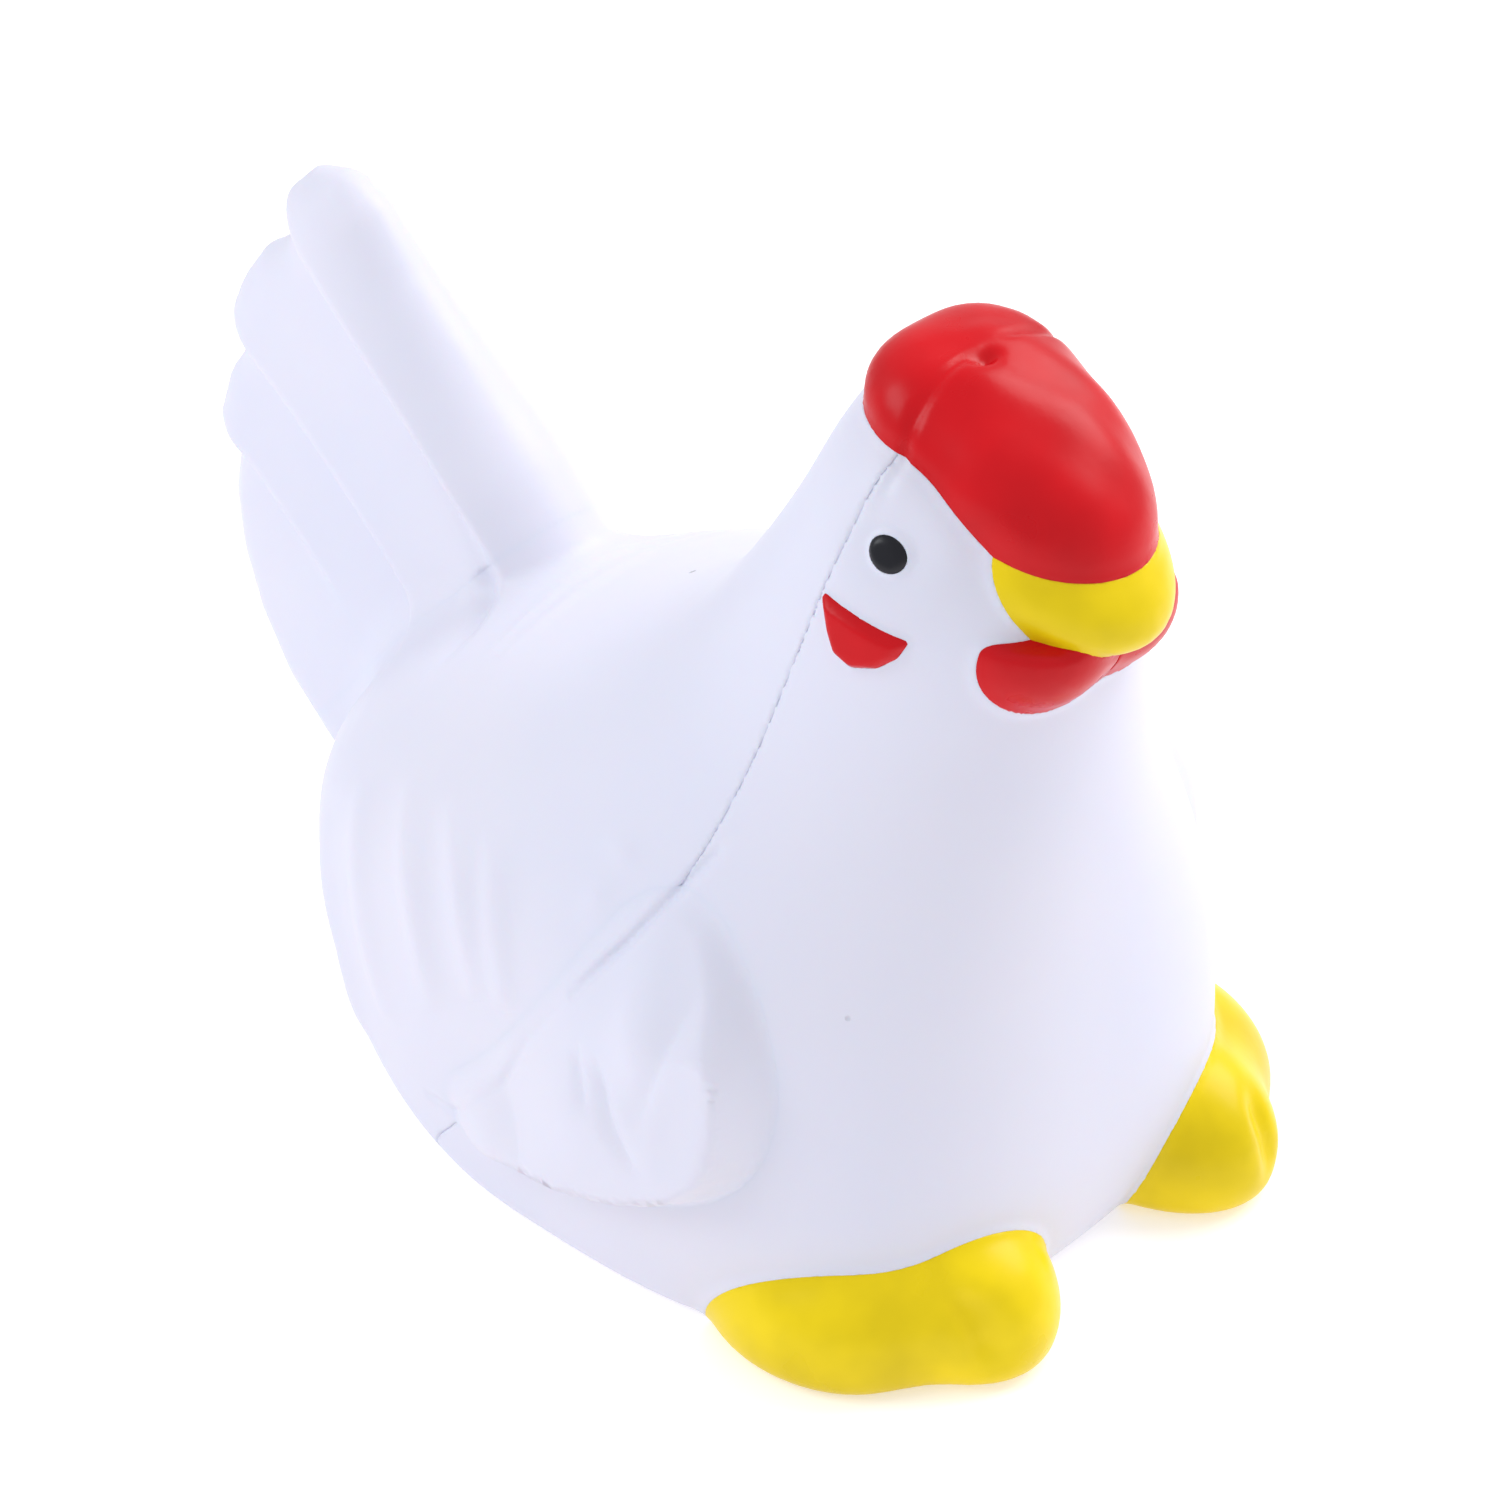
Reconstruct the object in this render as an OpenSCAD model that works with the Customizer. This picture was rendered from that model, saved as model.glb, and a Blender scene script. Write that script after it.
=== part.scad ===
// Squeeze hen: a sitting toy hen moulded in soft foam.
// The hen faces -Y, her right side is -X, +Z is up, and z = 0 is her flat base.
// Three bodies flex on each other: the torso, the head on its neck, and the tail.
// The foam core of each body wears a firm skin, split at the parting line of the mould.

/* [Toy] */
// Height of the whole toy; every size below is for a height of 69.4
toy_h = 69.4; // [50.4:0.2:110]
// Thickness of the firm skin over the foam core
skin_t = 1.2; // [0.8:0.1:1.8]
// Free gap between two bodies that flex on each other
gap = 0.3; // [0.2:0.05:0.5]

/* [Neck] */
// Distance of the neck's turning point in front of the middle
neck_y = 11; // [9:0.5:13]
// Height of the neck's turning point
neck_z = 49; // [48:0.5:50]
// Radius of the ball of foam that the head turns on
neck_r = 18; // [17:0.25:18.5]

/* [Tail] */
// Distance of the tail's root line behind the middle
tail_y = 32.5; // [31.5:0.5:34]
// Height of the tail's root line
tail_z = 30.5; // [29.5:0.5:32]
// Angle at which the tail rises from the rump
tail_rise = 43; // [38:1:48]
// Radius of the rounded tail root
tail_root_r = 7; // [6.8:0.1:7.5]
// Length of the tail root along its root line
tail_root_l = 36; // [34:1:40]

/* [Face] */
// Half sizes of the comb: across, along, thick
comb_size = [8.6, 11.9, 5.8];
// Slope of the comb, front end down
comb_slope = 33; // [28:1:38]
// Half sizes of the beak: across, along, thick
beak_size = [9, 13.4, 4.8];
// Slope of the beak, front end down
beak_slope = 25; // [20:1:30]
// Half sizes of one wattle
wattle_size = [5.6, 6.4, 4.6];
// How far the painted eye stands proud
eye_proud = 0.4; // [0.2:0.1:0.8]
// How far the ear lobe stands proud
lobe_proud = 0.7; // [0.3:0.1:1.2]

/* [Flanks] */
// How far the folded wing stands proud of the flank
wing_proud = 1.8; // [1:0.1:2.4]
// Radius of the wing's rounded outline
wing_round = 3; // [1:0.5:3.5]

/* [Hidden] */
K = toy_h / 69.4;
WHITE = [0.9, 0.9, 0.94];
RED = [0.85, 0.1, 0.12];
YELLOW = [0.97, 0.82, 0.12];
BLACK = [0.08, 0.08, 0.1];
SEGMENTS = 40;
SPLIT_Z = 46;
FAR = 160;

// Levels of the trunk from base to crown: height, front, rear, half width, roundness of plan
LEVELS = [
    [0, -24.4, 28, 23.6, 2.7],
    [2, -25.6, 30, 24.9, 2.65],
    [5, -26.8, 32.5, 26.1, 2.6],
    [10, -27.6, 35.5, 27.2, 2.5],
    [18, -27.8, 37, 27.2, 2.45],
    [26, -27.2, 35, 25.6, 2.4],
    [32, -26.6, 30, 23, 2.3],
    [37, -26.2, 22, 19.8, 2.2],
    [41, -25.8, 11, 17.4, 2.1],
    [45, -25.6, 4.8, 15.8, 2],
    [49, -25.6, 1.4, 14.7, 2],
    [54, -26.4, -2, 13.6, 2],
    [58, -25, -4.4, 12.8, 2],
    [62, -21.6, -6.2, 11, 2],
    [65, -18, -7.6, 8.4, 2],
    [66.8, -14.8, -9.2, 4.8, 2],
    [67.4, -12.9, -11, 1.3, 2]];

// The parting line of the mould in side view, from crown to base: y, z
PARTING = [
    [-16, 80], [-16, 66], [-14, 61], [-13, 55], [-12, 48], [-10, 43], [-9.6, 38],
    [-8.6, 34], [-6.6, 31], [-1, 22], [3.5, 14], [8.5, 8], [14, 3], [17, -5]];

// Outline of the folded wing in side view, inside its rounding: y, z
WING = [
    [-9.5, 31.5], [-16.5, 26], [-18.3, 21], [-15.5, 17], [-9, 14.2],
    [-1, 12.4], [6.4, 10], [0, 17], [-4.4, 24]];

// Tail feathers, uppermost first: root, tip (y, z), then root and tip radius and half thickness
FEATHERS = [
    [[25, 32.8], [44.4, 56.2], 5.4, 4.4, 6.6, 3.4],
    [[28, 29], [50, 49.2], 6.4, 5.2, 6.2, 3.2],
    [[31, 25], [53.4, 41.6], 7.2, 5.4, 5.8, 3],
    [[31, 22], [52.8, 33.4], 8, 6, 6.2, 3]];
RUMP_FEATHER = [[28, 17], [47, 26.4], 8.5, 7.6, 6.6, 3.6];

function power(v, e) = sign(v) * pow(abs(v), e);
function ring(level, out) =
    let (
        middle = (level[1] + level[2]) / 2,
        half_l = (level[2] - level[1]) / 2 + out,
        half_w = level[3] + out,
        e = 2 / level[4])
    [for (i = [0:SEGMENTS - 1])
        let (a = 360 * i / SEGMENTS)
        [half_w * power(cos(a), e), middle + half_l * power(sin(a), e), level[0]]];

// The trunk, from the height "low" to the crown, grown by "out" or shrunk where it is negative
module trunk(out = 0, low = 0) {
    used = [for (level = LEVELS) if (level[3] + out > 1) level];
    count = len(used);
    top = count * SEGMENTS;
    rings = [for (level = used) ring(level, out)];
    points = [for (r = rings) for (p = r) [p.x, p.y, max(p.z, low)]];
    sides = [for (j = [0:count - 2]) for (i = [0:SEGMENTS - 1])
        let (
            a = j * SEGMENTS + i,
            b = j * SEGMENTS + (i + 1) % SEGMENTS)
        each [[a, a + SEGMENTS, b], [b, a + SEGMENTS, b + SEGMENTS]]];
    bottom = [[for (i = [0:SEGMENTS - 1]) i]];
    crown = [[for (i = [0:SEGMENTS - 1]) top - 1 - i]];
    polyhedron(points, concat(sides, bottom, crown), convexity = 4);
}

// One closed mesh, at the toy's size
module moulded() {
    resize([0, 0, 0]) scale(K) union() children();
}

// Everything on one side of the YZ plane: side is -1 for the hen's right, 1 for her left
module half_space(side) {
    translate([side * FAR / 2, 0, 0]) cube(FAR, center = true);
}

// A side view outline carried through the toy along X
module side_prism() {
    rotate([90, 0, 90]) linear_extrude(FAR, center = true) children();
}

module front_half() {
    side_prism() polygon(concat(PARTING, [[-FAR, -5], [-FAR, 80]]));
}

module head_space(extra = 0) {
    translate([0, -neck_y, neck_z]) sphere(neck_r + extra, $fn = 48);
    translate([-FAR / 2, -FAR / 2, SPLIT_Z]) cube(FAR);
}

// Turns +Y into the tail's root line and +Z into the direction in which the tail grows
module at_tail_root() {
    translate([0, tail_y, tail_z]) rotate([-90 + tail_rise, 0, 0]) children();
}

module tail_root(extra = 0) {
    at_tail_root() rotate([90, 0, 0])
        cylinder(h = tail_root_l + 2 * extra, r = tail_root_r + extra, center = true, $fn = 48);
}

module tail_space() {
    tail_root();
    at_tail_root() translate([0, 0, FAR / 2]) cube(FAR, center = true);
}

module torso_space() {
    difference() {
        translate([0, 0, SPLIT_Z / 2 - 1]) cube([FAR, FAR, SPLIT_Z + 2], center = true);
        head_space(gap);
        tail_root(gap);
    }
}

module ellipsoid(place, size, slope = 0, facets = 32) {
    translate(place) rotate([slope, 0, 0]) scale(size) sphere(1, $fn = facets);
}

module comb_form() {
    ellipsoid([0, -18.6, 61.3], comb_size, comb_slope);
}

module beak_form() {
    ellipsoid([0, -18.2, 58.4], beak_size, beak_slope);
}

module wattle_form(side) {
    intersection() {
        ellipsoid([side * 3.6, -22.8, 51.6], wattle_size, 0, 28);
        half_space(side);
    }
}

module eye_outline() {
    translate([-18.4, 59.8]) rotate(20) scale([1.65, 1.95]) circle(1, $fn = 24);
}

module lobe_outline() {
    translate([-17.6, 53.6]) rotate(-12) scale([3.5, 2.3]) circle(1, $fn = 24);
}

module wing_outline() {
    offset(r = wing_round) polygon(WING);
}

// A raised patch of the trunk on one side, with the outline of its children
module patch(side, proud) {
    intersection() {
        difference() {
            trunk(proud);
            trunk(-skin_t);
        }
        side_prism() children();
        half_space(side);
    }
}

// The skin above the sole, open where the wings, eyes and ear lobes are set into it
module skin_shell() {
    difference() {
        trunk();
        trunk(-skin_t);
        translate([-FAR / 2, -FAR / 2, skin_t - FAR]) cube(FAR);
        side_prism() {
            wing_outline();
            eye_outline();
            lobe_outline();
        }
    }
}

module foot_form(side) {
    toe_in = [[12, -20, 5.4, 6.4], [11, -27, 5, 5.4]];
    toe_out = [[19.2, -16, 4.4, 5.8], [19.8, -23.5, 4.6, 5.6]];
    for (toe = [toe_in, toe_out]) hull() for (ball = toe)
        translate([side * ball[0], ball[1], ball[2]]) sphere(ball[3], $fn = 24);
}

module foot(side) {
    color(YELLOW) moulded() difference() {
        foot_form(side);
        trunk();
        translate([-FAR / 2, -FAR / 2, -FAR]) cube(FAR);
    }
}

module wing(side) {
    color(WHITE) moulded() patch(side, wing_proud) wing_outline();
}

module ear_lobe(side) {
    color(RED) moulded() patch(side, lobe_proud) lobe_outline();
}

module eye(side) {
    color(BLACK) moulded() patch(side, eye_proud) eye_outline();
}

module wattle(side) {
    color(RED) moulded() difference() {
        wattle_form(side);
        trunk();
        beak_form();
    }
}

module torso_core() {
    color(WHITE) moulded() intersection() {
        trunk(-skin_t, skin_t);
        torso_space();
    }
}

module base_skin() {
    color(WHITE) moulded() intersection() {
        trunk();
        translate([-FAR / 2, -FAR / 2, 0]) cube([FAR, FAR, skin_t]);
    }
}

module breast_skin() {
    color(WHITE) moulded() intersection() {
        skin_shell();
        torso_space();
        front_half();
    }
}

module back_skin() {
    color(WHITE) moulded() difference() {
        intersection() {
            skin_shell();
            torso_space();
        }
        front_half();
    }
}

module head_core() {
    color(WHITE) moulded() intersection() {
        trunk(-skin_t);
        head_space();
    }
}

module face_skin() {
    color(WHITE) moulded() intersection() {
        skin_shell();
        head_space();
        front_half();
    }
}

module nape_skin() {
    color(WHITE) moulded() difference() {
        intersection() {
            skin_shell();
            head_space();
        }
        front_half();
    }
}

module comb() {
    color(RED) moulded() difference() {
        comb_form();
        trunk();
    }
}

module beak() {
    color(YELLOW) moulded() difference() {
        intersection() {
            beak_form();
            front_half();
        }
        trunk();
        comb_form();
    }
}

module feather_form(f, inset = 0) {
    hull() for (end = [0, 1])
        translate([0, f[end][0], f[end][1]])
            scale([(f[4 + end] - inset) / (f[2 + end] - inset), 1, 1])
                sphere(f[2 + end] - inset, $fn = 24);
}

module tail_core() {
    color(WHITE) moulded() intersection() {
        union() {
            for (f = FEATHERS) feather_form(f, skin_t);
            feather_form(RUMP_FEATHER, skin_t);
        }
        tail_space();
    }
}

// Feather number n covers the ones behind it, and is covered by those before it
module tail_feather(n) {
    color(WHITE) moulded() intersection() {
        difference() {
            union() {
                feather_form(FEATHERS[n - 1]);
                if (n == len(FEATHERS)) feather_form(RUMP_FEATHER);
            }
            for (i = [0:1:n - 2]) feather_form(FEATHERS[i]);
            for (f = FEATHERS) feather_form(f, skin_t);
            feather_form(RUMP_FEATHER, skin_t);
        }
        tail_space();
    }
}

torso_core();
base_skin();
breast_skin();
back_skin();
wing(-1);  // wing_right
wing(1);  // wing_left
foot(-1);  // foot_right
foot(1);  // foot_left
head_core();
face_skin();
nape_skin();
comb();
beak();
wattle(-1);  // wattle_right
wattle(1);  // wattle_left
ear_lobe(-1);  // ear_lobe_right
ear_lobe(1);  // ear_lobe_left
eye(-1);  // eye_right
eye(1);  // eye_left
tail_core();
tail_feather(1);  // tail_feather_1
tail_feather(2);  // tail_feather_2
tail_feather(3);  // tail_feather_3
tail_feather(4);  // tail_feather_4
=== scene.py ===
import math

import bpy
import numpy as np
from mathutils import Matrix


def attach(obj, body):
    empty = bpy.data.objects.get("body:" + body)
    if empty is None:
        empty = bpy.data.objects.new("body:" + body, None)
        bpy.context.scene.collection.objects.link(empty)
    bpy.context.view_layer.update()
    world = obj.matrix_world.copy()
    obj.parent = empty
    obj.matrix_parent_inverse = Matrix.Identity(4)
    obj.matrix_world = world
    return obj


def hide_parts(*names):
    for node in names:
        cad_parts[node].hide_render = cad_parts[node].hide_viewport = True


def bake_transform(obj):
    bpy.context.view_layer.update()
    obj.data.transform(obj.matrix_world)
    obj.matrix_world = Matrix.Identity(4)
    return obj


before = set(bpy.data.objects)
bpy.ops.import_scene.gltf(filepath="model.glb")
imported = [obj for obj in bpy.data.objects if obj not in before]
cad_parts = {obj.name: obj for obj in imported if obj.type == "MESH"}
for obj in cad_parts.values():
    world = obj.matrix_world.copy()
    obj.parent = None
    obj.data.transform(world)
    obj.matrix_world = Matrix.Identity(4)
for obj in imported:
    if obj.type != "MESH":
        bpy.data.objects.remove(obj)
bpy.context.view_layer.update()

import openvdb
from mathutils import Vector

MM = 0.001

# ---- camera: the viewing angle of a table-top shot from above the hen's right shoulder
VIEW_AZIMUTH, VIEW_ELEVATION = math.radians(-47), math.radians(33)
VIEW_DISTANCE = 0.29446
AIM = Vector((0, 0.005, 0.032))
back = Vector((math.sin(VIEW_AZIMUTH) * math.cos(VIEW_ELEVATION),
               -math.cos(VIEW_AZIMUTH) * math.cos(VIEW_ELEVATION), math.sin(VIEW_ELEVATION)))
camera = bpy.data.objects.new("camera", bpy.data.cameras.new("camera"))
bpy.context.scene.collection.objects.link(camera)
camera.location = AIM + VIEW_DISTANCE * back
camera.rotation_euler = back.to_track_quat("Z", "Y").to_euler()
camera.data.lens, camera.data.sensor_width = 100, 36
camera.data.shift_x, camera.data.shift_y = 0.0013, -0.0247
camera.data.clip_start, camera.data.clip_end = 0.01, 20
bpy.context.scene.camera = camera


# ---- form: helpers. Every shape is negative inside and about a distance near its surface
def length(*v):
    return np.sqrt(sum(c * c for c in v))


def smooth_union(a, b, k):
    """The union of a and b with a fillet about k wide."""
    h = np.clip(0.5 + 0.5 * (b - a) / k, 0, 1)
    return b + (a - b) * h - k * h * (1 - h)


def smooth_cut(a, b, k):
    """What a and b share, with the edge between them rounded."""
    return -smooth_union(-a, -b, k)


def step(t):
    """0 up to t = 0, 1 from t = 1, smooth between."""
    t = np.clip(t, 0, 1)
    return t * t * (3 - 2 * t)


def oval(u, sizes):
    """An ellipsoid round the origin of u, a list of coordinates."""
    s = [c / r for c, r in zip(u, sizes)]
    far = length(*s) + 1e-9
    slope = length(*[c / r for c, r in zip(s, sizes)]) / far
    return (far - 1) / np.maximum(slope, 1e-6)


def tilt(p, centre, degrees):
    """Coordinates of p about centre, in axes tilted front end down."""
    a = np.radians(degrees)
    y, z = p[1] - centre[1], p[2] - centre[2]
    return [p[0] - centre[0], np.cos(a) * y + np.sin(a) * z, np.cos(a) * z - np.sin(a) * y]


def outline(y, z, points):
    """Signed distance in side view to a closed polygon."""
    best = np.full(np.shape(y), 1e9)
    inside = np.zeros(np.shape(y), bool)
    for (ay, az), (by, bz) in zip(points, points[1:] + points[:1]):
        ey, ez = by - ay, bz - az
        t = np.clip(((y - ay) * ey + (z - az) * ez) / (ey * ey + ez * ez), 0, 1)
        best = np.minimum(best, (y - ay - t * ey) ** 2 + (z - az - t * ez) ** 2)
        inside ^= ((az > z) != (bz > z)) & (y < ay + (z - az) * ey / (ez if ez else 1e-9))
    return np.where(inside, -1, 1) * np.sqrt(best)


def chain(y, z, points):
    """Signed distance in side view to an open chain, and the share of its length passed there."""
    best, share, side, gone = 1e9 + 0 * y, 0 * y, 0 * y, 0.0
    total = sum(math.dist(a, b) for a, b in zip(points, points[1:]))
    for (ay, az), (by, bz) in zip(points, points[1:]):
        ey, ez = by - ay, bz - az
        long = math.hypot(ey, ez)
        t = np.clip(((y - ay) * ey + (z - az) * ez) / long ** 2, 0, 1)
        d = np.hypot(y - ay - t * ey, z - az - t * ez)
        near = d < best
        best = np.where(near, d, best)
        share = np.where(near, (gone + t * long) / total, share)
        side = np.where(near, np.sign((y - ay) * ez - (z - az) * ey), side)
        gone += long
    return best * side, share


def rounded(points, closed=False):
    """Cuts the corners of a line or an outline, twice. A line keeps its ends."""
    rows = np.array(points, float)
    for _ in range(2):
        ahead = np.roll(rows, -1, 0)
        if not closed:
            rows, ahead = rows[:-1], ahead[:-1]
        cut = np.stack([0.75 * rows + 0.25 * ahead, 0.25 * rows + 0.75 * ahead], 1).reshape(-1, 2)
        rows = cut if closed else np.vstack([rows[:1], cut[1:-1], ahead[-1:]])
    return [tuple(row) for row in rows]


# ---- form: the hen faces -Y, her right side is -X, and z = 0 is her flat base
# Levels of the trunk: height, front, rear, half width, roundness of plan
LEVELS = [
    (-3, -23.0, 25.6, 20.9, 2.8), (0, -25.6, 28.8, 23.8, 2.8), (4, -27.6, 32.0, 25.6, 2.75),
    (10, -28.9, 35.4, 26.9, 2.7), (18, -28.7, 37.3, 27.2, 2.55), (26, -27.8, 36.0, 25.7, 2.45),
    (32, -26.8, 31.2, 23.0, 2.3), (37, -26.4, 21.6, 19.8, 2.2), (41, -26.0, 10.6, 17.2, 2.1),
    (45, -25.8, 4.6, 15.5, 2.0), (49, -25.9, 1.2, 14.4, 2.0), (54, -26.2, -2.0, 13.2, 2.0),
    (58, -25.0, -4.5, 12.2, 2.0), (62, -22.0, -6.4, 10.4, 2.0), (65, -18.5, -8.0, 7.8, 2.0),
    (67.5, -14.5, -10.0, 3.8, 2.0), (70, -12.4, -12.0, 0.6, 2.0)]
LEVEL_BLUR = 1.8
TABLE_Z = np.arange(-8, 78, 0.25)


def level_tables():
    rows = np.array(LEVELS, float)
    kernel = np.exp(-0.5 * (np.arange(-24, 25) * 0.25 / LEVEL_BLUR) ** 2)
    kernel /= kernel.sum()
    return [np.convolve(np.interp(TABLE_Z, rows[:, 0], rows[:, k]), kernel, mode="same")
            for k in range(1, 5)]


TABLE = level_tables()


def trunk(p):
    x, y, z = p
    front, rear, half_w, n = [np.interp(np.clip(z, -3, 70), TABLE_Z, c) for c in TABLE]
    middle, half_l = (front + rear) / 2, (rear - front) / 2
    n = n - 0.3 * step((y - middle) / 12) * step((24 - z) / 10)
    u, v = np.abs(x) / half_w + 1e-6, np.abs(y - middle) / half_l + 1e-6
    s = (u ** n + v ** n) ** (1 / n)
    slope = length(u ** (n - 1) / half_w, v ** (n - 1) / half_l) * s ** (1 - n)
    deep = -0.65 * np.minimum(half_w, half_l)
    d = np.where(s < 0.35, deep, (s - 1) / np.maximum(slope, 1e-4))
    return np.maximum(d * 0.85, z - 68.5)


# The tail is a flat fan: its outline and the lower edges of its feathers in side view
TAIL_Y, TAIL_Z, TAIL_RISE = 32.5, 30.5, math.radians(43)
TAIL = [
    (16, 33), (26.2, 43.6), (32.4, 49.5), (38.2, 55.2), (41.6, 59.2), (44.6, 61.0),
    (47.6, 60.2), (50.0, 57.2), (51.0, 54.6), (53.6, 52.6), (55.8, 49.2), (56.8, 45.6),
    (56.8, 43.2), (58.2, 40.8), (58.8, 37.4), (58.0, 34.4), (58.2, 31), (57.2, 26.2),
    (55.0, 21.4), (51, 16.6), (45, 12.5), (34, 11), (20, 18)]
FEATHER_EDGES = [
    rounded([(58, 64), (50, 57.6), (40.7, 50.9), (33.6, 45.6), (26.6, 39.8), (22, 35)]),
    rounded([(64, 50), (53.6, 44.5), (46.9, 41.0), (40, 36.6), (32.3, 31.0), (27, 27)]),
    rounded([(64, 37.6), (54.4, 35.2), (50.4, 33), (44, 28.6), (38, 24), (33, 20)])]


def tail_axes(p):
    """How far p lies down the tail's root line, and out along the tail."""
    y, z = p[1] - TAIL_Y, p[2] - TAIL_Z
    down = y * math.sin(TAIL_RISE) - z * math.cos(TAIL_RISE)
    out = y * math.cos(TAIL_RISE) + z * math.sin(TAIL_RISE)
    return down, out


def tail(p):
    x, y, z = p
    down, out = tail_axes(p)
    half_t = np.clip(6.2 - 0.105 * out - 0.03 * (down + 14), 2.4, 8.0)
    edge = np.clip(5.6 - 0.10 * (down + 12), 3.2, 6.0)
    inner = np.clip(1 + outline(y, z, TAIL) / edge, 0, None)
    u = np.abs(x) / half_t
    far = length(u, inner) + 1e-9
    slope = length(u / half_t, inner / edge) / far
    return (far - 1) / np.maximum(slope, 1e-6) * 0.9


# Each foot is two toes: centre and half sizes, measured outward from the middle of the feet
FEET_MIDDLE = 0.9
TOES = [((12.3, -21.6, 3.2), (7.6, 11.2, 7.8)), ((18.2, -18.2, 2.8), (7.2, 9.4, 7.0))]
TOE_FILLET = 2.6


def feet(p):
    x = np.abs(p[0] - FEET_MIDDLE)
    inner, outer = [oval([x - cx, p[1] - cy, p[2] - cz], sizes) for (cx, cy, cz), sizes in TOES]
    return smooth_union(inner, outer, TOE_FILLET)


COMB_AT, COMB_TILT = (0, -18.6, 61.9), 34
COMB_W, COMB_WIDENS, COMB_L, COMB_T = 7.7, 0.6, 11.0, 5.6


def comb(p):
    """A tilted cushion, wider, squarer and thinner toward the nape."""
    u = tilt(p, COMB_AT, COMB_TILT)
    rear = step(u[1] / 6)
    a = np.abs(u[0]) / (COMB_W + COMB_WIDENS * rear) + 1e-6
    b = np.abs(u[1]) / COMB_L + 1e-6
    n = 2 + 0.9 * rear
    plan = (a ** n + b ** n) ** (1 / n)
    half_t = COMB_T * (1 - 0.012 * np.maximum(u[1], 0))
    far = length(plan, u[2] / half_t) + 1e-9
    slope = length(plan / 9.0, u[2] / half_t ** 2) / far
    return (far - 1) / np.maximum(slope, 1e-6) * 0.9


BEAK_AT, BEAK_TILT, BEAK_SIZES, BEAK_REAR = (0, -18.2, 58.4), 25, (8.1, 12.9, 4.9), -15


def beak(p):
    return smooth_cut(oval(tilt(p, BEAK_AT, BEAK_TILT), BEAK_SIZES), p[1] - BEAK_REAR, 2)


WATTLE_APART, WATTLE_Y, WATTLE_Z, WATTLE_SIZES = 3.6, -22.0, 51.9, (5.6, 6.0, 5.0)
WATTLE_TOP = 53.5


def wattles(p):
    """Two lobes that merge under the beak, flat on top."""
    x = np.sqrt(p[0] ** 2 + 3.0) - WATTLE_APART
    lobes = oval([x, p[1] - WATTLE_Y, p[2] - WATTLE_Z], WATTLE_SIZES)
    return smooth_cut(lobes, p[2] - WATTLE_TOP - 0.12 * (p[1] + 24), 0.7)


def white(p):
    return smooth_union(trunk(p), tail(p), 5)


def plain(p):
    """The whole hen without fine detail."""
    d = smooth_union(white(p), feet(p), 1.0)
    d = smooth_union(d, wattles(p), 0.8)
    d = smooth_union(d, beak(p), 0.5)
    d = smooth_union(d, comb(p), 0.5)
    return smooth_cut(d, -p[2], 1.4)


# ---- form: detail of the flanks, face and feet, in side view
WING = rounded([
    (-8.4, 32.4), (-12.8, 28.0), (-15.4, 22.0), (-14.6, 16.6), (-10.0, 14.2),
    (-4.6, 12.9), (2.4, 11.6), (7.4, 10.4), (2.6, 14.6), (-2.4, 21.6), (-5.0, 26.4)], True)
WING_ROUND = 2.8
WING_CREASE = rounded([(-9.4, 36), (-6.4, 30.6), (-1.6, 23), (2.4, 15.6), (6.0, 11.8), (12, 9.2)])
PARTING = rounded([
    (-16, 80), (-15.6, 66), (-14.4, 60), (-13, 54), (-11.6, 48), (-10.4, 42),
    (-9.0, 36), (-6.4, 30.4), (-1.2, 22.4), (3.4, 14.4), (8.5, 8.6), (13.5, 3), (17, -5)])
LOBE = [
    (-13.8, 55.2), (-15.8, 54.7), (-19.4, 53.6), (-19.0, 52.7), (-18.0, 51.9), (-16.5, 51.6),
    (-15.3, 52.2), (-14.6, 53.4)]
LOBE_ROUND = 0.25
EYE_AT, EYE_SIZE, EYE_TURN = (-17.1, 58.8), (1.35, 0.98), 35
CHEEK = ((-21.6, 57.6), (2.6, 3.0), 0, -0.5)


def bump(y, z, at, size, degrees, height):
    """A soft oval bump, or a hollow where its height is negative."""
    a = math.radians(degrees)
    u = ((y - at[0]) * math.cos(a) + (z - at[1]) * math.sin(a)) / size[0]
    w = ((z - at[1]) * math.cos(a) - (y - at[0]) * math.sin(a)) / size[1]
    return height * np.exp(-u * u - w * w)


def ridge(y, z, points, width, height):
    """A soft ridge, or a groove where its height is negative, that fades at both ends."""
    d, share = chain(y, z, points)
    return height * np.exp(-(d / width) ** 2) * np.sqrt(np.clip(4 * share * (1 - share), 0, 1))


def wing_edge(y, z):
    return outline(y, z, WING) - WING_ROUND


def lobe_edge(y, z):
    return outline(y, z, LOBE) - LOBE_ROUND


def eye_edge(y, z):
    a = math.radians(EYE_TURN)
    u = (y - EYE_AT[0]) * math.cos(a) + (z - EYE_AT[1]) * math.sin(a)
    w = (z - EYE_AT[1]) * math.cos(a) - (y - EYE_AT[0]) * math.sin(a)
    return oval([u, w], EYE_SIZE)


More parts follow.
